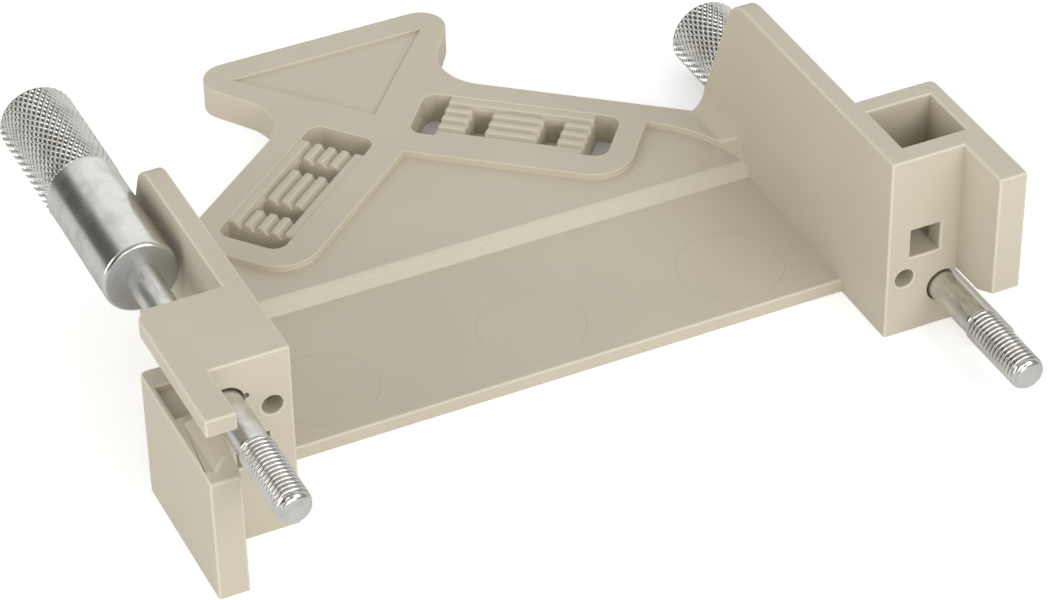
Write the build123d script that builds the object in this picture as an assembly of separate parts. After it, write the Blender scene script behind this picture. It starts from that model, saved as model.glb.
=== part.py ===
from build123d import *
import math
import os

# Base half of a connector hood, with its two locking screws.
#
# A moulded tray carries an end block and a side wall at each end of a connector bay.
# Behind the bay the tray rises by a step, and two arms with strain-relief slots run
# from the walls to a T-shaped tail, over which a cable is tied down. Each end block
# holds a long locking screw in a channel that is open to the side. The left block is
# the right one turned over, so its screw lies near the top.
#
# Millimetres. X runs along the bay, with its middle at 0. Y runs from the front faces
# of the end blocks, at 0, to the tail. Z is up, and the flat underside is at 0.

# Driving dimensions of the bay and the end blocks
BAY_LENGTH = 85.0
HOOD_HEIGHT = 28.4
BLOCK_LENGTH = 14.85
BLOCK_DEPTH = 15.1
BOX_LENGTH = 10.7
FLANGE_REACH = 9.15
SOLE_THICKNESS = 2.6
SOLE_CORNER_RADIUS = 2.5
BLOCK_CORNER_RADIUS = 1.0
FRONT_WALL = 3.1
BACK_WALL = 3.0

# Latch pocket of an end block, and the window in front of it
POCKET_INNER_WALL = 3.15
POCKET_OUTER_WALL = 2.1
POCKET_DEPTH_Y = 9.2
POCKET_FLOOR = 12.3
WINDOW_INSET = 3.4
WINDOW_WIDTH = 4.5
WINDOW_HEIGHT = 4.4
POCKET_SINK = 1.0

# Screw channel of an end block
SCREW_OFFSET = 8.8
SCREW_HEIGHT = 6.1
CHANNEL_HEIGHT = 6.9
CHANNEL_INSET = 5.4
MOUTH_DROP = 1.2
MOUTH_SLOPE_WIDTH = 2.8
MOUTH_RELIEF = 0.43
MOUTH_RELIEF_LENGTH = 3.65
CEILING_RECESS_DEPTH = 1.0
CEILING_RECESS_START = 4.4
CEILING_RECESS_LENGTH = 7.0
CEILING_RECESS_WALL = 0.85

# Connector fixing holes, one in each end block, at two heights
FIXING_INSET = 2.75
FIXING_DIAMETER = 2.8
FIXING_DEPTH = 10.0
RIGHT_FIXING_HEIGHT = 9.05
LEFT_FIXING_HEIGHT = 20.1

# Tray
TRAY_FRONT = 11.6
FRONT_THICKNESS = 2.1
FLOOR_THICKNESS = 3.75
RIM_THICKNESS = 4.8
STEP_FOOT = 38.5
STEP_RUN = 1.8

# Side walls
SIDE_WALL = 2.9
WALL_TOP_LENGTH = 29.35
WALL_END_LEAN = 22.0
WALL_TOP_RADIUS = 5.0
WALL_ROOT_TOP = 9.5
WALL_ROOT_RADIUS = 8.6

# Arms and their ends
ARM_ANGLE = 39.3
ARM_APEX = 62.9
ARM_WIDTH = 18.75
ARM_LENGTH = 32.15
ARM_CORNER_RADIUS = 6.0
CORNER_REACH = 14.7
CORNER_BULGE = 1.35

# Tail of the tray
TAIL_BACK = 95.2
TAIL_WIDTH = 38.2
TAIL_LOBE_RADIUS = 3.9
TAIL_FLANK_ANGLE = 34.9
TAIL_NECK_X = 10.9
TAIL_NECK_RADIUS = 8.0
RECESS_WIDTH = 30.2
RECESS_BACK = 90.7
RECESS_LENGTH = 17.6
RECESS_DEPTH = 0.5

# Strain-relief slots in the arms
SLOT_LENGTH = 29.1
SLOT_WIDTH = 10.2
SLOT_ALONG = 13.85
SLOT_ACROSS = 9.8
SLOT_CORNER_RADIUS = 2.0
RIDGE_PITCH = 2.1
RIDGE_TOP_WIDTH = 1.0
RIDGE_FOOT_WIDTH = 1.6
RIDGE_HEIGHT = 0.9
RIDGE_SINK = 0.2
MIDDLE_RIDGES = 3
MIDDLE_SET_LENGTH = 7.3
OUTER_SET_LENGTH = 3.7
RIDGE_GAP = 3.3

# Locking screws
SHANK_DIAMETER = 4.4
THREAD_DIAMETER = 4.9
COLLAR_DIAMETER = 10.5
GRIP_DIAMETER = 10.7
SCREW_TIP = -22.3
THREAD_LENGTH = 12.8
COLLAR_FRONT = 29.0
COLLAR_LENGTH = 21.0
GRIP_LENGTH = 19.7
TIP_RADIUS = 1.2
COLLAR_CHAMFER = 0.4
GRIP_CHAMFER = 1.0
THREAD_RUNOUT = 0.4
FRONT_HOLE_CLEARANCE = 0.05
BACK_HOLE_CLEARANCE = 0.35
NOTCH_RADIUS = 0.4
NOTCH_ASIDE = 2.68
NOTCH_BELOW = 0.46

# Places that several shapes share
OVERCUT = 1.0
INNER_FACE = BAY_LENGTH / 2
BOX_FACE = INNER_FACE + BOX_LENGTH
OUTER_FACE = INNER_FACE + BLOCK_LENGTH
WALL_FACE = INNER_FACE + SIDE_WALL
SCREW_X = INNER_FACE + SCREW_OFFSET
CHANNEL_TOP = SOLE_THICKNESS + CHANNEL_HEIGHT
WINDOW_LEFT = INNER_FACE + WINDOW_INSET
WINDOW_RIGHT = WINDOW_LEFT + WINDOW_WIDTH
BACK_WALL_FACE = BLOCK_DEPTH - BACK_WALL
ARM_COS = math.cos(math.radians(ARM_ANGLE))
ARM_SIN = math.sin(math.radians(ARM_ANGLE))


def cuboid(x_range, y_range, z_range):
    """Box between two values on each axis."""
    spans = (x_range, y_range, z_range)
    sizes = [high - low for low, high in spans]
    middle = [(high + low) / 2 for low, high in spans]
    return Pos(*middle) * Box(*sizes)


def rounded_outline(points, radii):
    """Closed outline with some corners rounded: radii gives a radius by the corner's point."""
    outline = make_face(Polyline(*points, close=True))
    for point, radius in radii.items():
        corner = outline.vertices().sort_by_distance(Vector(*point))[0]
        outline = fillet(corner, radius)
    return outline


def prism(outline, z_low, z_high):
    """Upright solid of an outline drawn in plan."""
    return extrude(Pos(0, 0, z_low) * outline, z_high - z_low)


def cylinder_along_y(x, z, radius, y_low, y_high):
    """Round bar or bore whose axis runs along Y."""
    length = y_high - y_low
    return Pos(x, (y_low + y_high) / 2, z) * Rot(90, 0, 0) * Cylinder(radius, length)


def arm_point(along, across):
    """Point in plan from the place where the right arm's front edge meets the middle line."""
    x = along * ARM_COS + across * ARM_SIN
    y = ARM_APEX - along * ARM_SIN + across * ARM_COS
    return (x, y)


def mirrored(points):
    """The same points on the left side, in the order that goes on round the outline."""
    return [(-x, y) for x, y in reversed(points)]


def block_outline(corner_radius):
    """Plan of an end block: the box, and the flange that reaches forward at its outer side."""
    outer_back = (OUTER_FACE, BLOCK_DEPTH)
    points = [
        (INNER_FACE, 0),
        (BOX_FACE, 0),
        (BOX_FACE, -FLANGE_REACH),
        (OUTER_FACE, -FLANGE_REACH),
        outer_back,
        (INNER_FACE, BLOCK_DEPTH),
    ]
    return rounded_outline(points, {outer_back: corner_radius})


def screw_channel():
    """Space round the screw in the right block, open all along its outer side and to the front."""
    z_span = (SOLE_THICKNESS, CHANNEL_TOP)
    outside = OUTER_FACE + OVERCUT
    chamber = cuboid((INNER_FACE + CHANNEL_INSET, outside), (FRONT_WALL, BACK_WALL_FACE), z_span)
    heel = cuboid((BOX_FACE, outside), (BACK_WALL_FACE, BLOCK_DEPTH + OVERCUT), z_span)
    recess = cuboid(
        (BOX_FACE, OUTER_FACE - CEILING_RECESS_WALL),
        (CEILING_RECESS_START, CEILING_RECESS_START + CEILING_RECESS_LENGTH),
        (CHANNEL_TOP - OVERCUT, CHANNEL_TOP + CEILING_RECESS_DEPTH),
    )
    return [mouth(outside), mouth_relief(outside), chamber, heel, recess]


def mouth(outside):
    """Front part of the channel, whose ceiling comes down towards the screw."""
    section = [
        (BOX_FACE, SOLE_THICKNESS),
        (outside, SOLE_THICKNESS),
        (outside, CHANNEL_TOP),
        (BOX_FACE + MOUTH_SLOPE_WIDTH, CHANNEL_TOP),
        (BOX_FACE, CHANNEL_TOP - MOUTH_DROP),
    ]
    face = make_face(Polyline(*section, close=True))
    return extrude(Plane.XZ.offset(-FRONT_WALL) * face, FRONT_WALL + FLANGE_REACH + OVERCUT)


def mouth_relief(outside):
    """Lead-in at the front of the mouth, ruled from a steep slope inside to a flat one outside."""
    start = -FLANGE_REACH
    end = MOUTH_RELIEF_LENGTH - FLANGE_REACH
    top = CHANNEL_TOP + MOUTH_RELIEF
    foot = CHANNEL_TOP - MOUTH_DROP - OVERCUT
    faces = []
    for x, ceiling in ((BOX_FACE, CHANNEL_TOP - MOUTH_DROP), (outside, CHANNEL_TOP)):
        section = [(start - OVERCUT, foot), (start - OVERCUT, top), (start, top), (end, ceiling), (end, foot)]
        faces.append(Plane.YZ.offset(x) * make_face(Polyline(*section, close=True)))
    return loft(faces, ruled=True)


def screw_holes():
    """Hole in the front wall that the thread just passes, and the wider one in the back wall."""
    thread = THREAD_DIAMETER / 2
    front_radius = thread + FRONT_HOLE_CLEARANCE
    back_radius = thread + BACK_HOLE_CLEARANCE
    front = cylinder_along_y(SCREW_X, SCREW_HEIGHT, front_radius, -OVERCUT, FRONT_WALL + OVERCUT)
    back = cylinder_along_y(
        SCREW_X, SCREW_HEIGHT, back_radius, BACK_WALL_FACE - OVERCUT, BLOCK_DEPTH + OVERCUT
    )
    return [front, back]


def hole_notch():
    """Small notch at the edge of the front hole, which only the left block has."""
    x = SCREW_X - NOTCH_ASIDE
    z = SCREW_HEIGHT - NOTCH_BELOW
    return cylinder_along_y(x, z, NOTCH_RADIUS, -OVERCUT, FRONT_WALL + OVERCUT)


def latch_pocket():
    """Pocket open at the top of the right block, sunk beside the window that leads into it."""
    pocket_right = OUTER_FACE - POCKET_OUTER_WALL
    y_span = (FRONT_WALL, FRONT_WALL + POCKET_DEPTH_Y)
    above = HOOD_HEIGHT + OVERCUT
    pocket = cuboid((INNER_FACE + POCKET_INNER_WALL, pocket_right), y_span, (POCKET_FLOOR, above))
    sunk = cuboid((WINDOW_RIGHT, pocket_right), y_span, (POCKET_FLOOR - POCKET_SINK, above))
    window = cuboid(
        (WINDOW_LEFT, WINDOW_RIGHT),
        (-OVERCUT, FRONT_WALL + OVERCUT),
        (POCKET_FLOOR, POCKET_FLOOR + WINDOW_HEIGHT),
    )
    return [pocket, sunk, window]


def end_block(fixing_height):
    """Right end block, with its connector fixing hole at the given height."""
    block = prism(block_outline(SOLE_CORNER_RADIUS), 0, SOLE_THICKNESS)
    block += prism(block_outline(BLOCK_CORNER_RADIUS), SOLE_THICKNESS, HOOD_HEIGHT)
    fixing_x = INNER_FACE + FIXING_INSET
    fixing = cylinder_along_y(fixing_x, fixing_height, FIXING_DIAMETER / 2, -OVERCUT, FIXING_DEPTH)
    return block - (screw_channel() + screw_holes() + latch_pocket() + [fixing])


def turned_over(shape):
    """Shape of the right side turned half round the Y line at mid height, to the left side."""
    return shape.rotate(Axis((0, 0, HOOD_HEIGHT / 2), (0, 1, 0)), 180)


def tray_outline():
    """Plan of the tray, from its front edge between the blocks to the tail."""
    half_width = TAIL_WIDTH / 2
    flank = math.radians(TAIL_FLANK_ANGLE)
    lobe_end = TAIL_BACK - TAIL_LOBE_RADIUS * (1 + math.tan(flank / 2))
    neck = (TAIL_NECK_X, outer_edge_y(TAIL_NECK_X))
    lobe = (half_width, lobe_end)
    tip = (half_width, TAIL_BACK)
    right = [(WALL_FACE, TRAY_FRONT), (WALL_FACE, outer_edge_y(WALL_FACE)), neck, lobe, tip]
    radii = {neck: TAIL_NECK_RADIUS, lobe: TAIL_LOBE_RADIUS, tip: TAIL_LOBE_RADIUS}
    radii |= {(-x, y): radius for (x, y), radius in radii.items()}
    return rounded_outline(right + mirrored(right), radii)


def outer_edge_y(x):
    """Y of the slanted back edge of the tray at a place along X."""
    edge_x, edge_y = arm_point(0, ARM_WIDTH)
    return edge_y - (x - edge_x) * math.tan(math.radians(ARM_ANGLE))


def floor_outline():
    """Plan of the sunk floor in front of the arms, behind the step."""
    step_top = STEP_FOOT + STEP_RUN
    corner = arm_point(ARM_LENGTH, 0)
    end = arm_point(ARM_LENGTH, CORNER_REACH)
    wall_end = (INNER_FACE, step_top)
    apex = (0, ARM_APEX)
    edges = [
        Line((-INNER_FACE, step_top), wall_end),
        SagittaArc(wall_end, end, -CORNER_BULGE),
        Line(end, corner),
        Line(corner, apex),
    ]
    edges += [Line(apex, (-corner[0], corner[1])), Line((-corner[0], corner[1]), (-end[0], end[1]))]
    edges.append(SagittaArc((-end[0], end[1]), (-INNER_FACE, step_top), -CORNER_BULGE))
    outline = make_face(edges)
    for x in (corner[0], -corner[0]):
        vertex = outline.vertices().sort_by_distance(Vector(x, corner[1]))[0]
        outline = fillet(vertex, ARM_CORNER_RADIUS)
    return outline


def tray():
    """Tray with its front field, step, sunk floor and the recess in the tail."""
    body = prism(tray_outline(), 0, RIM_THICKNESS)
    above = RIM_THICKNESS + OVERCUT
    step_top = STEP_FOOT + STEP_RUN
    section = [
        (TRAY_FRONT - OVERCUT, FRONT_THICKNESS),
        (STEP_FOOT, FRONT_THICKNESS),
        (step_top, FLOOR_THICKNESS),
        (step_top, above),
        (TRAY_FRONT - OVERCUT, above),
    ]
    field = extrude(Plane.YZ.offset(-INNER_FACE) * make_face(Polyline(*section, close=True)), BAY_LENGTH)
    floor = prism(floor_outline(), FLOOR_THICKNESS, above)
    half_recess = RECESS_WIDTH / 2
    triangle = [(-half_recess, RECESS_BACK), (half_recess, RECESS_BACK), (0, RECESS_BACK - RECESS_LENGTH)]
    recess = prism(make_face(Polyline(*triangle, close=True)), RIM_THICKNESS - RECESS_DEPTH, above)
    return body - [field, floor, recess]


def side_wall():
    """Right side wall, from the end block to its leaning and rounded back end, with its root fillet."""
    top_end = BLOCK_DEPTH + WALL_TOP_LENGTH
    foot_end = top_end + HOOD_HEIGHT * math.tan(math.radians(WALL_END_LEAN))
    top_corner = (top_end, HOOD_HEIGHT)
    section = [(BLOCK_DEPTH, 0), (foot_end, 0), top_corner, (BLOCK_DEPTH, HOOD_HEIGHT)]
    profile = rounded_outline(section, {top_corner: WALL_TOP_RADIUS})
    wall = extrude(Plane.YZ.offset(INNER_FACE) * profile, SIDE_WALL)
    plan = prism(tray_outline(), 0, HOOD_HEIGHT)
    return (wall + wall_root()) & plan


def wall_root():
    """Hollow flare of the wall's inner face, down to the rim behind the sunk floor."""
    drop = WALL_ROOT_TOP - RIM_THICKNESS
    inner = INNER_FACE - WALL_ROOT_RADIUS + math.sqrt(WALL_ROOT_RADIUS**2 - drop**2)
    flare_top = (INNER_FACE, WALL_ROOT_TOP)
    flare_foot = (inner, RIM_THICKNESS)
    edges = [
        Line(flare_foot, (INNER_FACE + OVERCUT, RIM_THICKNESS)),
        Line((INNER_FACE + OVERCUT, RIM_THICKNESS), (INNER_FACE + OVERCUT, WALL_ROOT_TOP)),
        Line((INNER_FACE + OVERCUT, WALL_ROOT_TOP), flare_top),
        RadiusArc(flare_top, flare_foot, WALL_ROOT_RADIUS),
    ]
    y_start = STEP_FOOT + STEP_RUN
    bar = extrude(Plane.XZ.offset(-y_start) * make_face(edges), -outer_edge_y(0) + y_start)
    floor = prism(floor_outline(), 0, HOOD_HEIGHT)
    return bar - floor


def slot_frame():
    """Frame of the right arm's slot: X along the arm, Y across it, origin in the slot's middle."""
    x, y = arm_point(SLOT_ALONG, SLOT_ACROSS)
    return Plane(origin=(x, y, 0), x_dir=(ARM_COS, -ARM_SIN, 0), z_dir=(0, 0, 1))


def ridge(start, length, across):
    """One ridge of a set, with sloping flanks."""
    foot = RIM_THICKNESS - RIDGE_SINK - RIDGE_HEIGHT
    top = RIM_THICKNESS - RIDGE_SINK
    section = [
        (across - RIDGE_FOOT_WIDTH / 2, foot),
        (across + RIDGE_FOOT_WIDTH / 2, foot),
        (across + RIDGE_TOP_WIDTH / 2, top),
        (across - RIDGE_TOP_WIDTH / 2, top),
    ]
    return extrude(Plane.YZ.offset(start) * make_face(Polyline(*section, close=True)), length)


def ridge_sets():
    """Start and length of the three sets of ridges, along the slot."""
    outer_start = MIDDLE_SET_LENGTH / 2 + RIDGE_GAP
    return [
        (-outer_start - OUTER_SET_LENGTH, OUTER_SET_LENGTH),
        (-MIDDLE_SET_LENGTH / 2, MIDDLE_SET_LENGTH),
        (outer_start, OUTER_SET_LENGTH),
    ]


def slot_bed():
    """What bridges a slot: two long rails along its sides, and ridges on three beds between them."""
    foot = RIM_THICKNESS - RIDGE_SINK - RIDGE_HEIGHT
    rail_place = RIDGE_PITCH * (MIDDLE_RIDGES + 1) / 2
    rail_inner = rail_place - RIDGE_FOOT_WIDTH / 2
    rail_outer = SLOT_WIDTH / 2
    sets = ridge_sets()
    rail_start = sets[0][0]
    rail_end = sets[-1][0] + sets[-1][1]
    shapes = []
    for side in (-1, 1):
        across = sorted((side * rail_inner, side * rail_outer))
        shapes.append(cuboid((rail_start, rail_end), across, (0, foot)))
        shapes.append(ridge(rail_start, rail_end - rail_start, side * rail_place))
    for start, length in sets:
        shapes.append(cuboid((start, start + length), (-rail_outer, rail_outer), (0, foot)))
        for place in range(MIDDLE_RIDGES):
            across = (place - (MIDDLE_RIDGES - 1) / 2) * RIDGE_PITCH
            shapes.append(ridge(start, length, across))
    return shapes


def slots(tray_body):
    """Tray with both strain-relief slots cut through it, and the rails and ridges left across them."""
    outline = RectangleRounded(SLOT_LENGTH, SLOT_WIDTH, SLOT_CORNER_RADIUS)
    void = prism(outline, 0, RIM_THICKNESS + OVERCUT)
    for shape in slot_bed():
        void -= shape
    right_void = slot_frame().location * void
    return tray_body - [right_void, mirror(right_void, about=Plane.YZ)]


def hood_shell():
    """The whole moulding: tray, walls and both end blocks."""
    wall = side_wall()
    right_block = end_block(RIGHT_FIXING_HEIGHT)
    left_block = turned_over(end_block(HOOD_HEIGHT - LEFT_FIXING_HEIGHT) - hole_notch())
    return slots(tray()) + [wall, mirror(wall, about=Plane.YZ), right_block, left_block]


def locking_screw(x, z):
    """Locking screw: threaded end to the front, thinner shank, collar and grip at the back."""
    thread = THREAD_DIAMETER / 2
    shank = SHANK_DIAMETER / 2
    collar = COLLAR_DIAMETER / 2
    grip = GRIP_DIAMETER / 2
    thread_end = SCREW_TIP + THREAD_LENGTH
    grip_start = COLLAR_FRONT + COLLAR_LENGTH
    back = grip_start + GRIP_LENGTH
    tip_corner = (thread, SCREW_TIP)
    outline = [
        (0, SCREW_TIP),
        tip_corner,
        (thread, thread_end - THREAD_RUNOUT),
        (shank, thread_end),
        (shank, COLLAR_FRONT),
        (collar - COLLAR_CHAMFER, COLLAR_FRONT),
        (collar, COLLAR_FRONT + COLLAR_CHAMFER),
        (collar, grip_start),
        (grip, grip_start),
        (grip, back - GRIP_CHAMFER),
        (grip - GRIP_CHAMFER, back),
        (0, back),
    ]
    profile = rounded_outline(outline, {tip_corner: TIP_RADIUS})
    return Pos(x, 0, z) * revolve(profile, Axis.Y)


PARTS = {
    "hood_shell": hood_shell,
    "left_locking_screw": lambda: locking_screw(-SCREW_X, HOOD_HEIGHT - SCREW_HEIGHT),
    "right_locking_screw": lambda: locking_screw(SCREW_X, SCREW_HEIGHT),
}

os.makedirs("parts", exist_ok=True)
for name, make in PARTS.items():
    export_step(make(), f"parts/{name}.step")
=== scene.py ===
"""Dressed scene of a connector hood base with its two locking screws.

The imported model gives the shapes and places. This script rounds the moulded edges of the
hood, cuts real thread and knurling on the screws, and gives each surface its finish.
Metres throughout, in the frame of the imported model.
"""

import logging
import math
from dataclasses import dataclass, field
from enum import Enum
from typing import Any

import bmesh
import bpy
import numpy as np
from mathutils import Matrix, Vector

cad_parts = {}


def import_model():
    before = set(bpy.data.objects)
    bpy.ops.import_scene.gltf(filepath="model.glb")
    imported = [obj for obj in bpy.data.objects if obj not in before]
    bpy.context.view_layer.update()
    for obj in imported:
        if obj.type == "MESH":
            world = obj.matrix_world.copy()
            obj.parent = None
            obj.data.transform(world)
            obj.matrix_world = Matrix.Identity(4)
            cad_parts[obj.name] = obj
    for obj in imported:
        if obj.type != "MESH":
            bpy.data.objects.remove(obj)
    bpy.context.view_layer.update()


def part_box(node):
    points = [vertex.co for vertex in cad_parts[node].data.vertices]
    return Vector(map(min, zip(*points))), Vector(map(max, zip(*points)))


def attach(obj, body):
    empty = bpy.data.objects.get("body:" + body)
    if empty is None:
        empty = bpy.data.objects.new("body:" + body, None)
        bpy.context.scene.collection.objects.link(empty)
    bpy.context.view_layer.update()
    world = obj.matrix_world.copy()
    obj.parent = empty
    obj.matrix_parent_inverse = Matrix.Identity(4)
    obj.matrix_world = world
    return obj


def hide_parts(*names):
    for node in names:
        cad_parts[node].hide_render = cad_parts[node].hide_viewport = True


LOG = logging.getLogger("hood_scene")
MM = 0.001
FRAME_PIXELS = (1048, 600)
LAMP_AIM = (0.0, 0.03, 0.01)


class Finish(Enum):
    """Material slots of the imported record."""

    MOULDING = "moulding"
    STEEL = "screw_steel"


class Wire:
    """Output socket of a node, on which shader maths is written as an expression."""

    def __init__(self, board: "NodeBoard", socket: bpy.types.NodeSocket) -> None:
        """Keeps the socket and the board that its next nodes are made on."""
        self.board = board
        self.socket = socket

    def __add__(self, other: Any) -> "Wire":
        """This value plus another."""
        return self.board.maths("ADD", self, other)

    def __sub__(self, other: Any) -> "Wire":
        """This value less another."""
        return self.board.maths("SUBTRACT", self, other)

    def __rsub__(self, other: Any) -> "Wire":
        """Another value less this one."""
        return self.board.maths("SUBTRACT", other, self)

    def __mul__(self, other: Any) -> "Wire":
        """This value times another."""
        return self.board.maths("MULTIPLY", self, other)

    def __lt__(self, other: Any) -> "Wire":
        """1 where this value is the smaller, else 0."""
        return self.board.maths("LESS_THAN", self, other)

    __radd__ = __add__
    __rmul__ = __mul__


class NodeBoard:
    """Node tree of a material or of the world, with one method that makes any node."""

    def __init__(self, tree: bpy.types.NodeTree) -> None:
        """Starts on an emptied tree."""
        tree.nodes.clear()
        self.tree = tree

    def node(
        self,
        kind: str,
        inputs: dict[Any, Any] | None = None,
        output: Any = 0,
        **settings: Any,
    ) -> Wire:
        """Makes one node.

        Args:
            kind: Blender's name for the type of node.
            inputs: Values or wires by the socket's name or place.
            output: Name or place of the output that the returned wire reads.
            **settings: Attributes of the node, which are set first.

        Returns:
            The wire of the chosen output.
        """
        made = self.tree.nodes.new(kind)
        for name, value in settings.items():
            setattr(made, name, value)
        for key, value in (inputs or {}).items():
            if isinstance(value, Wire):
                self.tree.links.new(value.socket, made.inputs[key])
            else:
                made.inputs[key].default_value = value
        return Wire(self, made.outputs[output]) if made.outputs else Wire(self, None)

    def maths(self, operation: str, *values: Any) -> Wire:
        """Math node of an operation on two or three values."""
        return self.node("ShaderNodeMath", dict(enumerate(values)), operation=operation)

    def blend(self, share: Any, below: Any, above: Any) -> Wire:
        """Mixes two colours.

        Args:
            share: How much of the second colour, from 0 to 1.
            below: The first colour, or a wire of it.
            above: The second colour, or a wire of it.

        Returns:
            The wire of the mixed colour.
        """
        return self.node(
            "ShaderNodeMix",
            {"Factor": share, 6: below, 7: above},
            output=2,
            data_type="RGBA",
        )

    def ramp(self, value: Wire, low: float, high: float) -> Wire:
        """Smooth step from 0 to 1 as a value goes from low to high."""
        return self.node(
            "ShaderNodeMapRange",
            {"Value": value, "From Min": low, "From Max": high},
            interpolation_type="SMOOTHSTEP",
        )

    def between(self, value: Wire, low: float, high: float, soft: float) -> Wire:
        """1 where a value lies between two others, with soft ends of the given width."""
        rise = self.ramp(value, low - soft, low + soft)
        fall = self.ramp(value, high - soft, high + soft)
        return rise * (1 - fall)

    def place(self) -> Wire:
        """Object coordinates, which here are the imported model's own metres."""
        return self.node("ShaderNodeTexCoord", output="Object")

    def axes(self, place: Wire) -> tuple[Wire, Wire, Wire]:
        """X, Y and Z of a place."""
        split = self.node("ShaderNodeSeparateXYZ", {0: place})
        outputs = split.socket.node.outputs
        return tuple(Wire(self, outputs[index]) for index in range(3))

    def stretched(self, place: Wire, factors: tuple[float, float, float]) -> Wire:
        """A place whose three axes are each multiplied, so that a pattern on it grows long."""
        return self.node("ShaderNodeVectorMath", {0: place, 1: factors}, operation="MULTIPLY")

    def distance(self, run: Wire, rise: Wire) -> Wire:
        """Length of a run and a rise at a right angle to each other."""
        return self.maths("SQRT", run * run + rise * rise)

    def noise(self, place: Wire, size: float, detail: float = 2.0) -> Wire:
        """Noise from 0 to 1 whose lumps are about as wide as size, in metres."""
        return self.node(
            "ShaderNodeTexNoise",
            {"Vector": place, "Scale": 1 / size, "Detail": detail},
            output="Fac",
        )

    def bump(self, height: Wire, distance: float, strength: float) -> Wire:
        """Normal of a height from 0 to 1 that stands distance metres proud."""
        return self.node(
            "ShaderNodeBump",
            {"Strength": strength, "Distance": distance, "Height": height},
            output="Normal",
        )


def linear(red: float, green: float, blue: float) -> tuple[float, float, float, float]:
    """Linear colour of an sRGB colour that is written from 0 to 255."""
    values = [c / 255 for c in (red, green, blue)]
    lin = [v / 12.92 if v <= 0.04045 else ((v + 0.055) / 1.055) ** 2.4 for v in values]
    return (lin[0], lin[1], lin[2], 1.0)


def new_board(name: str) -> tuple[bpy.types.Material, NodeBoard]:
    """New material of a name, with its emptied node tree."""
    material = bpy.data.materials.new(name)
    material.use_nodes = True
    return material, NodeBoard(material.node_tree)


@dataclass(frozen=True)
class SatinMoulding:
    """Satin grey-beige thermoplastic, with the eroded step band, painted paler as painted light on
    its front-facing slope, and the faint ejector marks, darkened as painted shade of their
    grooves.
    """

    colour: tuple[float, ...] = linear(205, 197, 177)
    shade: tuple[float, ...] = linear(201, 193, 173)
    # pale and grit: the step band's speckle, both paler than the body as painted light on the
    # slope
    pale: tuple[float, ...] = linear(213, 207, 190)
    grit: tuple[float, ...] = linear(207, 200, 182)
    # colour of the ejector rings: painted shade of their shallow grooves
    ring_groove_shade: tuple[float, ...] = linear(184, 176, 156)
    roughness: float = 0.46
    band_back: tuple[float, float] = (38.5 * MM, 40.3 * MM)
    band_top: float = 3.9 * MM
    band_half: float = 42.6 * MM
    ejector_places: tuple[tuple[float, float], ...] = ((0.0, 21.04 * MM), (30.35 * MM, 21.25 * MM))
    ejector_radius: float = 7.5 * MM
    ejector_line: float = 0.07 * MM
    field_top: float = 2.3 * MM

    def material(self, name: str) -> bpy.types.Material:
        """Makes a material of this moulding under a name."""
        material, board = new_board(name)
        place = board.place()
        x, y, z = board.axes(place)
        cloud = board.noise(place, 22 * MM, 3)
        grain = board.noise(place, 0.35 * MM, 2)
        body = board.blend(board.ramp(cloud, 0.3, 0.7), self.colour, self.shade)
        band = (
            board.between(y, self.band_back[0], self.band_back[1], 0.08 * MM)
            * board.between(x, -self.band_half, self.band_half, 0.1 * MM)
            * (z < self.band_top)
        )
        rings = self.ejector_rings(board, x, y) * (z < self.field_top)
        coarse = board.noise(place, 0.22 * MM, 3)
        speckle = board.ramp(coarse, 0.42, 0.6)
        # the band's speckled grain, painted paler than the body: painted light on the front-facing
        # step
        eroded_and_lit_band = board.blend(speckle, self.pale, self.grit)
        # ejector rings darkened by half towards their colour: painted shade in the grooves, over a
        # real bump
        ring_shaded = board.blend(rings * 0.5, body, self.ring_groove_shade)
        colour = board.blend(band, ring_shaded, eroded_and_lit_band)
        roughness = self.roughness + 0.1 * (grain - 0.5) + 0.16 * band
        height = grain * (1 - band) * 0.3 + coarse * band * 0.5 - rings
        shader = board.node(
            "ShaderNodeBsdfPrincipled",
            {
                "Base Color": colour,
                "Roughness": roughness,
                "Specular IOR Level": 0.42,
                "Normal": board.bump(height, 0.03 * MM, 0.5),
            },
        )
        board.node("ShaderNodeOutputMaterial", {"Surface": shader})
        return material

    @classmethod
    def painted_edge_highlight(cls) -> "SatinMoulding":
        """The glossier skin along rounded edges, painted lighter: a painted highlight where the
        edges catch the light.
        """
        return cls(colour=linear(218, 211, 192), shade=linear(214, 207, 188), roughness=0.36)

    def ejector_rings(self, board: NodeBoard, x: Wire, y: Wire) -> Wire:
        """Thin circles that the ejector pins left on the front field, one middle and two outer;
        the mask of their bump and of their painted groove shade.
        """
        inner = self.ejector_radius - self.ejector_line
        outer = self.ejector_radius + self.ejector_line
        rings = []
        for centre_x, centre_y in self.ejector_places:
            away = board.distance(board.maths("ABSOLUTE", x) - centre_x, y - centre_y)
            rings.append(board.between(away, inner, outer, 0.05 * MM))
        return board.maths("MAXIMUM", *rings)


class SteelArea(Enum):
    """Parts of a locking screw whose steel looks different."""

    THREAD = "thread"
    COLLAR = "collar"
    GRIP = "grip"


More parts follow.
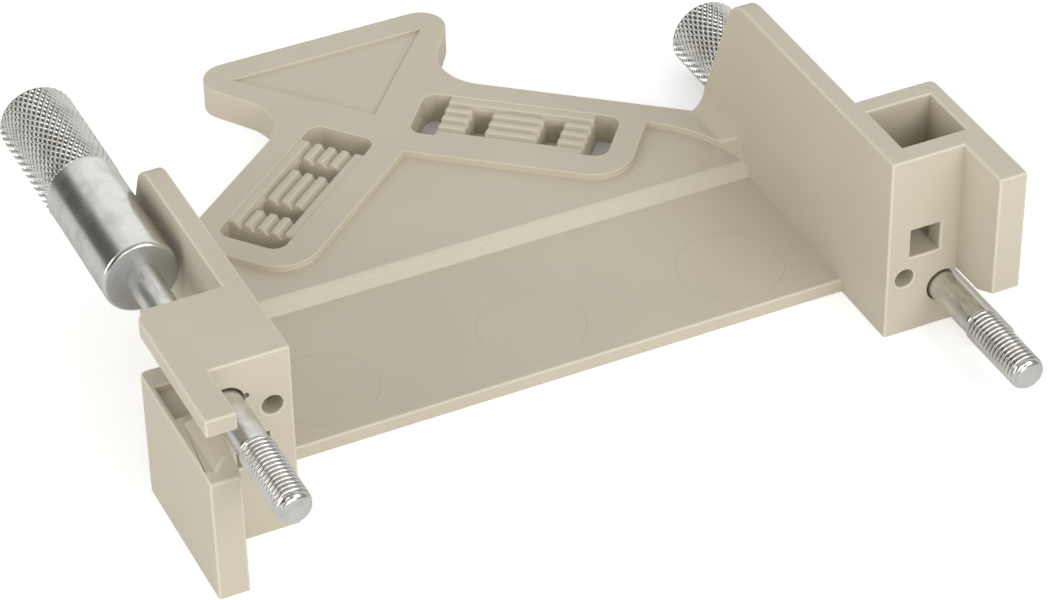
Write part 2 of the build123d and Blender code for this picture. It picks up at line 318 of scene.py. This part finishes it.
@dataclass(frozen=True)
class BrightSteel:
    """Nickel-bright turned steel of one area of a screw, with its faint tool rings.

    Below groove_radius the steel is darkened with painted shade, the shade of the thread's roots
    and the knurl's pits, and from crest_radius outward it has none, as it has none in front of
    unshaded_until and on the end behind unshaded_from. Behind frosted_from the surface is frosted
    and carries short streaks along the axis. The flat face in front of faced_until is satin and
    painted a little bluer, a painted reflection of the surroundings that its rough face scatters.
    """

    area: SteelArea
    axis_x: float
    axis_z: float
    groove_radius: float
    crest_radius: float
    unshaded_until: float
    unshaded_from: float
    faced_until: float
    frosted_from: float
    roughness: float
    groove_shade_share: float
    colour: tuple[float, ...] = linear(222, 221, 216)
    dull: tuple[float, ...] = linear(190, 187, 178)
    # painted shade of the thread roots and knurl pits, and also the colour of the shank's real
    # streaks
    streak_and_groove_shade: tuple[float, ...] = linear(96, 94, 90)
    # bluish tint of the satin flat faces: a painted reflection of the surroundings
    face_reflection_tint: tuple[float, ...] = linear(200, 203, 205)
    faced_roughness: float = 0.26
    frosted_roughness: float = 0.2
    ring_pitch: float = 0.12 * MM
    ring_depth: float = 0.003 * MM

    def material(self, name: str) -> bpy.types.Material:
        """Makes the steel's material.

        Args:
            name: Name of the screw that the material is for.

        Returns:
            The new material.
        """
        material, board = new_board(f"{name}_{self.area.value}_steel")
        place = board.place()
        x, y, z = board.axes(place)
        cloud = board.noise(place, 3.2 * MM, 3)
        rings = board.node(
            "ShaderNodeTexNoise",
            {"W": y * (1 / self.ring_pitch), "Scale": 1.0, "Detail": 2.0},
            output="Fac",
            noise_dimensions="1D",
        )
        stain = board.ramp(cloud, 0.42, 0.72)
        radius = board.distance(x - self.axis_x, z - self.axis_z)
        # mask of painted shade: grooves and pits below groove_radius, faded out near the tip and
        # off on the back end face
        deep = 1 - board.ramp(radius, self.groove_radius, self.crest_radius)
        deep = deep * board.ramp(y, self.unshaded_until, self.unshaded_until + 0.3 * MM)
        deep = deep * (y < self.unshaded_from)
        frosted = board.ramp(y, self.frosted_from, self.frosted_from + 0.4 * MM)
        streaks = board.noise(board.stretched(place, (1.0, 0.16, 1.0)), 0.5 * MM, 2)
        streaked = board.ramp(streaks, 0.56, 0.72) * frosted
        face = y < self.faced_until
        stain_and_face_tint = board.blend(stain * 0.5, self.colour, self.dull)
        # flat faces tinted bluish: a painted reflection
        stain_and_face_tint = board.blend(face, stain_and_face_tint, self.face_reflection_tint)
        groove_shaded = board.blend(deep * self.groove_shade_share, stain_and_face_tint, self.streak_and_groove_shade)
        shader = board.node(
            "ShaderNodeBsdfPrincipled",
            {
                # the streaks are the shank's own darker marks
                "Base Color": board.blend(streaked * 0.35, groove_shaded, self.streak_and_groove_shade),
                "Metallic": 1.0,
                "Roughness": self.roughness
                + self.frosted_roughness * frosted
                + self.faced_roughness * face
                + 0.08 * stain
                + 0.05 * (rings - 0.5),
                "Normal": board.bump(rings, self.ring_depth, 0.6),
            },
        )
        board.node("ShaderNodeOutputMaterial", {"Surface": shader})
        return material


def lattice_mesh(name: str, lattices: list[np.ndarray], sharp_degrees: float) -> bpy.types.Object:
    """Closed shells of quads, each from a grid of points whose rows are rings.

    In each grid, point j of a ring is joined to point j + 1, and the last one to the first.
    The first and the last ring may lie at one pole, where their points are merged. Edges
    that turn by more than sharp_degrees stay crisp, and the rest are shaded smooth.

    Args:
        name: Name of the new object.
        lattices: Arrays of rings by points by 3, in metres.
        sharp_degrees: Least turn of a crisp edge.

    Returns:
        The new object, linked to the scene.
    """
    quads = []
    first = 0
    for points in lattices:
        rows, columns = points.shape[:2]
        index = first + np.arange(rows * columns).reshape(rows, columns)
        ahead = np.roll(index, -1, axis=1)
        cells = np.stack([index[:-1], ahead[:-1], ahead[1:], index[1:]], axis=-1)
        quads.append(cells.reshape(-1, 4))
        first += rows * columns
    mesh = bpy.data.meshes.new(name)
    places = np.concatenate([points.reshape(-1, 3) for points in lattices])
    mesh.from_pydata(places, [], np.concatenate(quads).tolist())
    tidy = bmesh.new()
    tidy.from_mesh(mesh)
    bmesh.ops.remove_doubles(tidy, verts=tidy.verts, dist=1e-6)
    bmesh.ops.dissolve_degenerate(tidy, edges=tidy.edges, dist=1e-7)
    bmesh.ops.recalc_face_normals(tidy, faces=tidy.faces)
    tidy.to_mesh(mesh)
    tidy.free()
    mesh.shade_smooth()
    mesh.set_sharp_from_angle(angle=math.radians(sharp_degrees))
    made = bpy.data.objects.new(name, mesh)
    bpy.context.scene.collection.objects.link(made)
    return made


def smooth_step(value: np.ndarray) -> np.ndarray:
    """0 below 0, 1 above 1, and 3 v squared less 2 v cubed between."""
    held = np.clip(value, 0.0, 1.0)
    return held * held * (3.0 - 2.0 * held)


@dataclass
class LockingScrew:
    """Long captive screw: threaded end, shank, collar and knurled grip, along Y."""

    body: str
    node: str
    axis_x: float = field(init=False)
    axis_z: float = field(init=False)
    tip: float = field(init=False)
    back: float = field(init=False)
    thread_radius: float = 2.45 * MM
    thread_depth: float = 0.45 * MM
    thread_pitch: float = 0.76 * MM
    thread_length: float = 12.8 * MM
    crest_flat: float = 0.12
    thread_flank: float = 0.7
    tip_radius: float = 1.2 * MM
    shank_radius: float = 2.2 * MM
    collar_front: float = 29.0 * MM
    collar_length: float = 21.0 * MM
    collar_radius: float = 5.25 * MM
    collar_chamfer: float = 0.4 * MM
    grip_radius: float = 5.35 * MM
    grip_chamfer: float = 1.0 * MM
    knurl_depth: float = 0.42 * MM
    knurl_starts: int = 36
    knurl_pitch: float = 1.62 * MM
    net_line: float = 0.92
    pit_flank: float = 0.75
    grip_lip: float = 0.3 * MM
    overlap: float = 0.6 * MM
    face_depth: float = 0.05 * MM
    end_depth: float = 0.03 * MM
    sharp_degrees: float = 50.0

    def __post_init__(self) -> None:
        """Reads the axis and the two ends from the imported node's box."""
        low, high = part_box(self.node)
        self.axis_x = (low.x + high.x) / 2
        self.axis_z = (low.z + high.z) / 2
        self.tip = low.y
        self.back = high.y

    def build(self) -> list[bpy.types.Object]:
        """Builds and dresses the screw's pieces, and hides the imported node.

        Returns:
            The pieces, each riding on the screw's body.
        """
        pieces = {
            SteelArea.THREAD: self.shaft(),
            SteelArea.COLLAR: self.collar(),
            SteelArea.GRIP: self.grip(),
        }
        for area, piece in pieces.items():
            piece.data.materials.append(self.finish(area).material(self.body))
            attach(piece, self.body)
            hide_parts(self.node)
            LOG.info("piece %s has %d faces", piece.name, len(piece.data.polygons))
        return list(pieces.values())

    def finish(self, area: SteelArea) -> BrightSteel:
        """Steel of one area of this screw.

        The depths are the radii of groove and crest, and the looks are where the frosting
        starts, the roughness and the share of painted shade in the grooves. The thread has no
        satin face, so its face lies in front of the tip.

        Args:
            area: The area of the screw.

        Returns:
            The steel of that area.
        """
        depths = {
            SteelArea.THREAD: (self.thread_radius - self.thread_depth, self.shank_radius),
            SteelArea.COLLAR: (0.0, 0.1 * MM),
            SteelArea.GRIP: (self.grip_radius - self.knurl_depth, self.grip_radius - 0.12 * MM),
        }
        looks = {
            SteelArea.THREAD: (self.tip + self.thread_length, 0.15, 0.8),
            SteelArea.COLLAR: (self.back, 0.24, 0.0),
            SteelArea.GRIP: (self.back, 0.16, 0.85),
        }
        fronts = {
            SteelArea.THREAD: self.tip - MM,
            SteelArea.COLLAR: self.collar_front,
            SteelArea.GRIP: self.collar_front + self.collar_length,
        }
        faced_until = fronts[area] + self.face_depth
        ends = (self.tip + self.tip_radius, self.back - self.end_depth, faced_until)
        return BrightSteel(area, self.axis_x, self.axis_z, *depths[area], *ends, *looks[area])

    def swept(
        self, name: str, y: np.ndarray, radius: np.ndarray, turn: np.ndarray
    ) -> bpy.types.Object:
        """Piece whose points lie at a radius and a turn round the screw's axis.

        Args:
            name: Name of the area, for the piece's name.
            y: Places along the axis, rows by columns.
            radius: Distances from the axis, rows by columns.
            turn: Turns round the axis in radians, one to a column.

        Returns:
            The piece.
        """
        x = self.axis_x + radius * np.cos(turn)
        z = self.axis_z + radius * np.sin(turn)
        points = np.stack([x, y, z], axis=-1)
        return lattice_mesh(f"{self.body}_{name}", [points], self.sharp_degrees)

    def shaft(self) -> bpy.types.Object:
        """Threaded end and shank.

        A row's y grows by one pitch over a turn, so that each row follows the thread. The
        thread's radius falls from crest to root as the phase y / pitch less the turn goes
        half a pitch, by a smooth step with flats at both ends. It is held under the tip's
        rounding, the quarter circle of tip_radius, and it fades into the shank over the
        last pitch.

        Returns:
            The piece.
        """
        columns, steps = 72, 10
        turn = np.arange(columns) * 2 * math.pi / columns
        share = turn / (2 * math.pi)
        end = self.tip + self.thread_length
        start = self.tip + 0.02 * MM
        turns = int(math.ceil((end - start) / self.thread_pitch)) + 1
        climb = np.arange(-steps, turns * steps + 1)[:, None] / steps + share[None, :]
        threaded = np.clip(start + climb * self.thread_pitch, start, end)
        nose = self.tip + np.zeros((1, columns))
        plain = np.array([end + 0.3 * MM, self.collar_front + self.overlap])[:, None] + 0 * share
        y = np.concatenate([nose, nose, threaded, plain, plain[-1:]])
        phase = ((y - start) / self.thread_pitch - share) % 1.0
        from_crest = np.abs(phase - 0.5) * 2
        fall = smooth_step((from_crest - self.crest_flat) / self.thread_flank)
        cut = self.thread_radius - self.thread_depth * fall
        fade = smooth_step((end - y) / self.thread_pitch)
        radius = self.shank_radius + (cut - self.shank_radius) * fade
        reach = np.clip(self.tip_radius - (y - self.tip), 0, self.tip_radius)
        dome = self.thread_radius - self.tip_radius + np.sqrt(self.tip_radius**2 - reach**2)
        radius = np.where(y < self.tip + self.tip_radius, np.minimum(radius, dome), radius)
        radius[0] = 0.0
        radius[-1] = 0.0
        return self.swept("shaft", y, radius, turn)

    def collar(self) -> bpy.types.Object:
        """Smooth collar, a turned profile of cone, cylinder and two closed ends.

        Returns:
            The piece.
        """
        chamfer = self.collar_chamfer
        soft = 0.06 * MM
        front = self.collar_front
        back = front + self.collar_length + self.overlap
        profile = np.array(
            [
                (0.0, front),
                (self.collar_radius * 0.6, front),
                (self.collar_radius - chamfer - soft, front),
                (self.collar_radius - chamfer, front + 0.3 * soft),
                (self.collar_radius - 0.3 * soft, front + chamfer - 0.3 * soft),
                (self.collar_radius, front + chamfer + soft),
                (self.collar_radius, front + 3 * chamfer),
                (self.collar_radius, back - chamfer),
                (self.collar_radius, back),
                (0.0, back),
            ]
        )
        turn = np.arange(128) * 2 * math.pi / 128
        radius = profile[:, :1] + 0 * turn
        y = profile[:, 1:] + 0 * turn
        return self.swept("collar", y, radius, turn)

    def grip(self) -> bpy.types.Object:
        """Diamond-knurled grip, whose raised net leaves a pit in each diamond.

        Two families of net lines wind round it, one each way. At a turn t and a place y,
        the phases are t times starts / 2 pi plus and less y / pitch. A phase's distance from
        the middle of its diamond, from 0 to 1, is largest on the net line. The larger of the
        two distances gives the depth, by a smooth step from the pit to the net. The cone of
        the end chamfer holds it in.

        Returns:
            The piece.
        """
        per_start, per_pitch = 8, 8
        columns = self.knurl_starts * per_start
        turn = np.arange(columns) * 2 * math.pi / columns
        start = self.collar_front + self.collar_length
        rows = int(round((self.back - start) / self.knurl_pitch * per_pitch))
        along = np.linspace(start, self.back, rows + 1)
        y = np.concatenate([[start, start], along[1:-1], [self.back, self.back]])
        y = y[:, None] + 0 * turn
        lead = turn * self.knurl_starts / (2 * math.pi)
        rise = (y - start) / self.knurl_pitch
        first = np.abs((lead + rise) % 1.0 - 0.5) * 2
        second = np.abs((lead - rise) % 1.0 - 0.5) * 2
        pit = smooth_step((self.net_line - np.maximum(first, second)) / self.pit_flank)
        radius = self.grip_radius - self.knurl_depth * pit
        chamfer = self.grip_chamfer
        cone = self.grip_radius - np.clip(chamfer - (self.back - y), 0, chamfer)
        lip = self.grip_radius - np.clip(self.grip_lip - (y - start), 0, self.grip_lip)
        radius = np.minimum(np.minimum(radius, cone), lip)
        radius[0] = 0.0
        radius[-1] = 0.0
        return self.swept("grip", y, radius, turn)


@dataclass
class HoodMoulding:
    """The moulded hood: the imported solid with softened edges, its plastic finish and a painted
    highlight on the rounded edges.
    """

    body: str = "hood"
    node: str = "hood_shell"
    finish: SatinMoulding = field(default_factory=SatinMoulding)
    # finish of the rounded edges: glossier, and lighter as a painted highlight
    edges: SatinMoulding = field(default_factory=SatinMoulding.painted_edge_highlight)
    edge_radius: float = 0.28 * MM
    fine_share: float = 0.35
    hole_share: float = 0.3
    hole_reach: float = 3.4 * MM
    hole_ends: float = 16 * MM
    arms_from: float = 45 * MM
    arms_below: float = 4.9 * MM
    arms_aside: float = 2 * MM
    tail_end_from: float = 90 * MM
    sole_below: float = 0.1 * MM
    screw_axes: tuple[tuple[float, float], ...] = ((51.3 * MM, 6.1 * MM), (-51.3 * MM, 22.3 * MM))
    corner_angle: float = 24.0
    smooth_angle: float = 40.0
    mouth_angle: float = 5.5
    mouth_from: float = 53.1 * MM
    mouth_back: float = 3.2 * MM
    mouth_height: float = 9.1 * MM
    mouth_half: float = 1.1 * MM
    height: float = 28.4 * MM

    def build(self) -> bpy.types.Object:
        """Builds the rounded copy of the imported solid.

        Returns:
            The piece, riding on the hood's body.
        """
        source = bpy.data.objects[self.node]
        mesh = source.data.copy()
        piece = bpy.data.objects.new("hood_moulding", mesh)
        bpy.context.scene.collection.objects.link(piece)
        mesh.materials.clear()
        mesh.materials.append(self.finish.material("moulding_satin"))
        mesh.materials.append(self.edges.material("moulding_edge_highlight"))
        self.merge(mesh)
        self.weigh(mesh)
        bevel = piece.modifiers.new("soft_edges", "BEVEL")
        bevel.limit_method = "WEIGHT"
        bevel.width = self.edge_radius
        bevel.segments = 3
        bevel.use_clamp_overlap = False
        bevel.loop_slide = False
        bevel.miter_outer = "MITER_ARC"
        # the bevel's faces take the edge finish, a painted highlight along every rounded edge
        bevel.material = 1
        piece.data = bpy.data.meshes.new_from_object(
            piece.evaluated_get(bpy.context.evaluated_depsgraph_get())
        )
        piece.modifiers.clear()
        self.shade(piece.data)
        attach(piece, self.body)
        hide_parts(self.node)
        LOG.info("piece %s has %d faces", piece.name, len(piece.data.polygons))
        return piece

    @staticmethod
    def merge(mesh: bpy.types.Mesh) -> None:
        """Joins the loose triangles and takes away the lines across flat faces."""
        shell = bmesh.new()
        shell.from_mesh(mesh)
        bmesh.ops.remove_doubles(shell, verts=shell.verts, dist=2e-6)
        bmesh.ops.dissolve_degenerate(shell, edges=shell.edges, dist=1e-6)
        bmesh.ops.dissolve_limit(
            shell,
            angle_limit=math.radians(0.05),
            use_dissolve_boundaries=False,
            verts=shell.verts,
            edges=shell.edges,
        )
        bmesh.ops.recalc_face_normals(shell, faces=shell.faces)
        shell.to_mesh(mesh)
        shell.free()

    def weigh(self, mesh: bpy.types.Mesh) -> None:
        """Gives each outward edge its share of the bevel, and the other edges none."""
        shell = bmesh.new()
        shell.from_mesh(mesh)
        layer = shell.edges.layers.float.new("bevel_weight_edge")
        limit = math.radians(self.corner_angle)
        for edge in shell.edges:
            if len(edge.link_faces) != 2:
                continue
            if edge.calc_face_angle_signed(0.0) > limit:
                edge[layer] = self.room(edge)
        shell.to_mesh(mesh)
        shell.free()

    def shade(self, mesh: bpy.types.Mesh) -> None:
        """Sets the normals, so that flat faces look flat and only rounded edges turn.

        The normal of a face's corner is the mean of the normals of all faces round its point
        that turn less than smooth_angle from that face, each weighted by its area. In the
        mouths of the screw channels, where flat slopes meet, mouth_angle takes its place.

        Args:
            mesh: The rounded mesh.
        """
        mesh.shade_smooth()
        faces, corners = len(mesh.polygons), len(mesh.loops)
        point = np.empty(corners, dtype=np.int32)
        sides = np.empty(faces, dtype=np.int32)
        area = np.empty(faces)
        normal = np.empty(faces * 3)
        place = np.empty(len(mesh.vertices) * 3)
        mesh.loops.foreach_get("vertex_index", point)
        mesh.polygons.foreach_get("loop_total", sides)
        mesh.polygons.foreach_get("area", area)
        mesh.polygons.foreach_get("normal", normal)
        mesh.vertices.foreach_get("co", place)
        face = np.repeat(np.arange(faces), sides)
        normal = normal.reshape(-1, 3)[face]
        area = area[face]
        x, y, z = place.reshape(-1, 3)[point].T
        from_middle = np.abs(np.where(x > 0, z, self.height - z) - self.mouth_height)
        outside = (np.abs(x) > self.mouth_from) & (y < self.mouth_back)
        in_mouth = outside & (from_middle < self.mouth_half)
        limit = np.cos(np.radians(np.where(in_mouth, self.mouth_angle, self.smooth_angle)))
        count = np.bincount(point)
        first = np.cumsum(count) - count
        by_point = np.argsort(point, kind="stable")
        around = count[point]
        one = np.repeat(np.arange(corners), around)
        step = np.arange(len(one)) - np.repeat(np.cumsum(around) - around, around)
        other = by_point[first[point[one]] + step]
        agree = np.sum(normal[one] * normal[other], axis=1) > limit[one]
        weighted = normal[other] * (area[other] * agree)[:, None]
        sums = [np.bincount(one, weighted[:, axis], corners) for axis in range(3)]
        total = np.stack(sums, axis=1)
        total /= np.linalg.norm(total, axis=1)[:, None]
        mesh.normals_split_custom_set(total)

    def room(self, edge: bmesh.types.BMEdge) -> float:
        """Share of the bevel that an edge has room for, smaller where there is fine detail."""
        middle = (edge.verts[0].co + edge.verts[1].co) / 2
        on_arms = middle.y > self.arms_from and middle.z < self.arms_below
        fine = on_arms and (abs(middle.x) > self.arms_aside or middle.y > self.tail_end_from)
        in_holes = abs(middle.y) < self.hole_ends and any(
            math.hypot(middle.x - x, middle.z - z) < self.hole_reach for x, z in self.screw_axes
        )
        if in_holes:
            return self.hole_share
        return self.fine_share if fine or middle.z < self.sole_below else 1.0


@dataclass
class StrainRelief:
    """Ribbed lands across the two slots of the arms, with rounded ribs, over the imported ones.

    Places along an arm and across it are turned into X and Y by the arm's angle, from the
    point where the arms' front edges meet.
    """

    material: bpy.types.Material
    body: str = "hood"
    node: str = "hood_shell"
    angle: float = 39.3
    apex: float = 62.9 * MM
    along: float = 13.85 * MM
    across: float = 9.8 * MM
    top: float = 4.66 * MM
    valley: float = 3.8 * MM
    rib_pitch: float = 2.1 * MM
    half_groove: float = 0.88 * MM
    half_width: float = 5.12 * MM
    rail_inner: float = 3.35 * MM
    middle_half: float = 3.65 * MM
    outer_set: tuple[float, float] = (6.95 * MM, 10.65 * MM)
    overhang: float = 0.2 * MM
    end_radius: float = 0.42 * MM
    foot: float = 0.02 * MM

    def build(self) -> bpy.types.Object:
        """Builds the lands of both slots as one piece on the hood.

        Returns:
            The piece.
        """
        near, far = self.outer_set
        between_rails = (-self.rail_inner, self.rail_inner)
        lands = [
            ((-self.middle_half, self.middle_half), between_rails),
            ((near, far), between_rails),
            ((-far, -near), between_rails),
            ((-far, far), (self.rail_inner, self.half_width)),
            ((-far, far), (-self.half_width, -self.rail_inner)),
        ]
        lattices = [self.land(run, width, side) for side in (1, -1) for run, width in lands]
        piece = lattice_mesh("hood_ribs", lattices, 50.0)
        piece.data.materials.append(self.material)
        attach(piece, self.body)
        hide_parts(self.node)
        LOG.info("piece %s has %d faces", piece.name, len(piece.data.polygons))
        return piece

    def land(self, run: tuple[float, float], width: tuple[float, float], side: int) -> np.ndarray:
        """One land: a loop over its top and back along its foot, carried across the arm.

        The height across the arm is the rib top less a smooth step down to the valley within
        half_groove of each valley's middle. Valleys lie half a pitch from each rib. Towards
        the ends along the arm, a quarter circle of end_radius is taken off.

        Args:
            run: Start and end along the slot, from the slot's middle.
            width: Start and end across the slot.
            side: 1 for the right arm and -1 for the left one.

        Returns:
            Points of rings by places by 3, with both ends closed at a pole.
        """
        start, end = run[0] - self.overhang, run[1] + self.overhang
        bend = self.end_radius * (1 - np.cos(np.linspace(0, math.pi / 2, 7)))
        over = np.concatenate([start + bend, end - bend[::-1]])
        from_end = np.minimum(over - start, end - over)
        past = np.clip(self.end_radius - from_end, 0, None)
        drop = self.end_radius - np.sqrt(self.end_radius**2 - past**2)
        v = np.linspace(width[0], width[1], int(round((width[1] - width[0]) / (0.08 * MM))) + 1)
        valley_gap = np.abs(np.abs(v) % self.rib_pitch - self.rib_pitch / 2)
        valley_gap = np.where(np.abs(v) > 2 * self.rib_pitch, self.half_groove, valley_gap)
        sink = smooth_step(1 - valley_gap / self.half_groove)
        height = self.top - (self.top - self.valley) * sink
        u = np.concatenate([[start], over, [end]])
        z = height[:, None] - drop[None, :]
        foot = np.full((len(v), 1), self.foot)
        z = np.concatenate([foot, z, foot], axis=1)
        v = np.concatenate([v[:1], v, v[-1:]])
        z = np.concatenate([z[:1], z, z[-1:]])
        u, v = np.broadcast_arrays(u[None, :], v[:, None])
        u = u.copy()
        u[[0, -1]] = (start + end) / 2
        z[[0, -1]] = (self.top + self.foot) / 2
        turn = math.radians(self.angle)
        far_along, far_across = self.along + u, self.across + v
        x = side * (far_along * math.cos(turn) + far_across * math.sin(turn))
        y = self.apex - far_along * math.sin(turn) + far_across * math.cos(turn)
        return np.stack([x, y, z], axis=-1)


@dataclass(frozen=True)
class Lamp:
    """Square soft lamp that faces the hood's middle, with its place, side and watts."""

    name: str
    place: tuple[float, float, float]
    size: float
    power: float


@dataclass
class Studio:
    """Camera, lamps, pale floor and white surroundings."""

    azimuth: float = -24.88942
    elevation: float = 37.30653
    roll: float = -1.05095
    distance: float = 0.5145433
    target: tuple[float, float, float] = (0.0028292, 0.0293507, 0.0)
    focal_pixels: float = 3763.967
    sensor: float = 36.0
    ambient: float = 0.545
    mirrored_room: float = 0.85
    dark_corner: float = 0.9
    dark_front: float = 0.6
    corner_aside: tuple[float, float] = (-0.42, -0.22)
    corner_height: tuple[float, float] = (-0.1, 0.66)
    corner_soft: float = 0.08
    front_behind: tuple[float, float] = (-0.35, 0.05)
    floor_half: float = 6.0
    floor_drop: float = 0.02 * MM
    floor_colour: tuple[float, ...] = (0.86, 0.86, 0.86, 1.0)
    floor_glow: float = 0.45
    arm_angle: float = 39.3
    arm_apex: float = 62.9 * MM
    slot_middle: tuple[float, float] = (13.85 * MM, 9.8 * MM)
    slot_half: tuple[float, float] = (15.2 * MM, 5.8 * MM)
    lamps: tuple[Lamp, ...] = (
        Lamp("right", (0.30, -0.60, 0.50), 0.4, 1.65),
        Lamp("front", (-0.10, -0.75, 0.20), 0.5, 2.3),
        Lamp("left", (-0.70, 0.05, 0.25), 0.5, 1.8),
        Lamp("back", (0.30, 0.45, 0.35), 0.7, 0.3),
    )

    def build(self) -> None:
        """Makes the whole studio."""
        bpy.context.scene.view_settings.view_transform = "Standard"
        self.camera()
        self.floor()
        self.surroundings()
        for lamp in self.lamps:
            self.light(lamp)
        LOG.info("studio ready")

    def camera(self) -> None:
        """Places the camera at the photograph's viewing angle, with no shift."""
        az, el, roll = (math.radians(a) for a in (self.azimuth, self.elevation, self.roll))
        back = Vector((math.sin(az) * math.cos(el), -math.cos(az) * math.cos(el), math.sin(el)))
        right = (-back).cross(Vector((0, 0, 1))).normalized()
        up = right.cross(-back)
        turned_right = right * math.cos(roll) + up * math.sin(roll)
        turned_up = up * math.cos(roll) - right * math.sin(roll)
        lens = bpy.data.cameras.new("photo_camera")
        lens.sensor_fit = "HORIZONTAL"
        lens.sensor_width = self.sensor
        lens.lens = self.focal_pixels * self.sensor / FRAME_PIXELS[0]
        lens.clip_start = 0.01
        lens.clip_end = 20.0
        camera = bpy.data.objects.new("photo_camera", lens)
        turn = Matrix((turned_right, turned_up, back)).transposed().to_4x4()
        camera.matrix_world = Matrix.Translation(Vector(self.target) + back * self.distance) @ turn
        bpy.context.scene.collection.objects.link(camera)
        bpy.context.scene.camera = camera

    def floor(self) -> None:
        """Pale floor under the hood, white to the camera and still taking the shadow."""
        half, low = self.floor_half, -self.floor_drop
        corners = [(-half, -half, low), (half, -half, low), (half, half, low), (-half, half, low)]
        mesh = bpy.data.meshes.new("studio_floor")
        mesh.from_pydata(corners, [], [(0, 1, 2, 3)])
        material, board = new_board("pale_floor")
        seen = board.node("ShaderNodeLightPath", output="Is Camera Ray")
        diffuse = board.node("ShaderNodeBsdfDiffuse", {"Color": self.floor_colour})
        shaded = self.under_slots(board)
        strength = seen * (1 - shaded) * self.floor_glow
        glow = board.node("ShaderNodeEmission", {"Color": (1, 1, 1, 1), "Strength": strength})
        shader = board.node("ShaderNodeAddShader", {0: diffuse, 1: glow})
        board.node("ShaderNodeOutputMaterial", {"Surface": shader})
        mesh.materials.append(material)
        floor = bpy.data.objects.new("studio_floor", mesh)
        bpy.context.scene.collection.objects.link(floor)

    def under_slots(self, board: NodeBoard) -> Wire:
        """1 on the floor below the two slots, where only the light that comes through shows."""
        x, y, _ = board.axes(board.place())
        turn = math.radians(self.arm_angle)
        x = board.maths("ABSOLUTE", x)
        y = y - self.arm_apex
        along = x * math.cos(turn) - y * math.sin(turn)
        across = x * math.sin(turn) + y * math.cos(turn)
        inside = 1.0
        for place, middle, half in zip((along, across), self.slot_middle, self.slot_half):
            inside = board.between(place, middle - half, middle + half, 0.2 * MM) * inside
        return inside

    def surroundings(self) -> None:
        """World: white to the camera, with a dark corner of the room for the metal to show."""
        world = bpy.data.worlds.new("surroundings")
        world.use_nodes = True
        bpy.context.scene.world = world
        board = NodeBoard(world.node_tree)
        path = board.node("ShaderNodeLightPath").socket.node.outputs
        rays = ("Is Camera Ray", "Is Glossy Ray", "Is Transmission Ray")
        camera, glossy, through = (Wire(board, path[name]) for name in rays)
        direction = board.node("ShaderNodeTexCoord", output="Generated")
        aside, behind, height = board.axes(direction)
        corner = (1 - board.ramp(aside, *self.corner_aside)) * board.between(
            height, *self.corner_height, self.corner_soft
        )
        front = 1 - board.ramp(behind, *self.front_behind)
        mirrored = (1 - corner * self.dark_corner) * (1 - front * self.dark_front)
        mirrored = mirrored * self.mirrored_room
        lit = through + (1 - through) * self.ambient
        strength = camera + (1 - camera) * (glossy * mirrored + (1 - glossy) * lit)
        light = board.node("ShaderNodeBackground", {"Color": (1, 1, 1, 1), "Strength": strength})
        board.node("ShaderNodeOutputWorld", {"Surface": light})

    @staticmethod
    def light(lamp: Lamp) -> None:
        """Makes a lamp and turns it towards the hood."""
        data = bpy.data.lights.new(lamp.name, "AREA")
        data.size = lamp.size
        data.energy = lamp.power
        made = bpy.data.objects.new(lamp.name, data)
        aim = Vector(LAMP_AIM) - Vector(lamp.place)
        turn = aim.to_track_quat("-Z", "Y").to_matrix().to_4x4()
        made.matrix_world = Matrix.Translation(lamp.place) @ turn
        bpy.context.scene.collection.objects.link(made)


def main() -> None:
    """Builds the hood, its screws and the studio."""
    logging.basicConfig(level=logging.INFO)
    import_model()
    hood = HoodMoulding().build()
    StrainRelief(hood.data.materials[0]).build()
    for side in ("left", "right"):
        LockingScrew(body=f"{side}_screw", node=f"{side}_locking_screw").build()
    Studio().build()


if __name__ == "__main__":
    main()
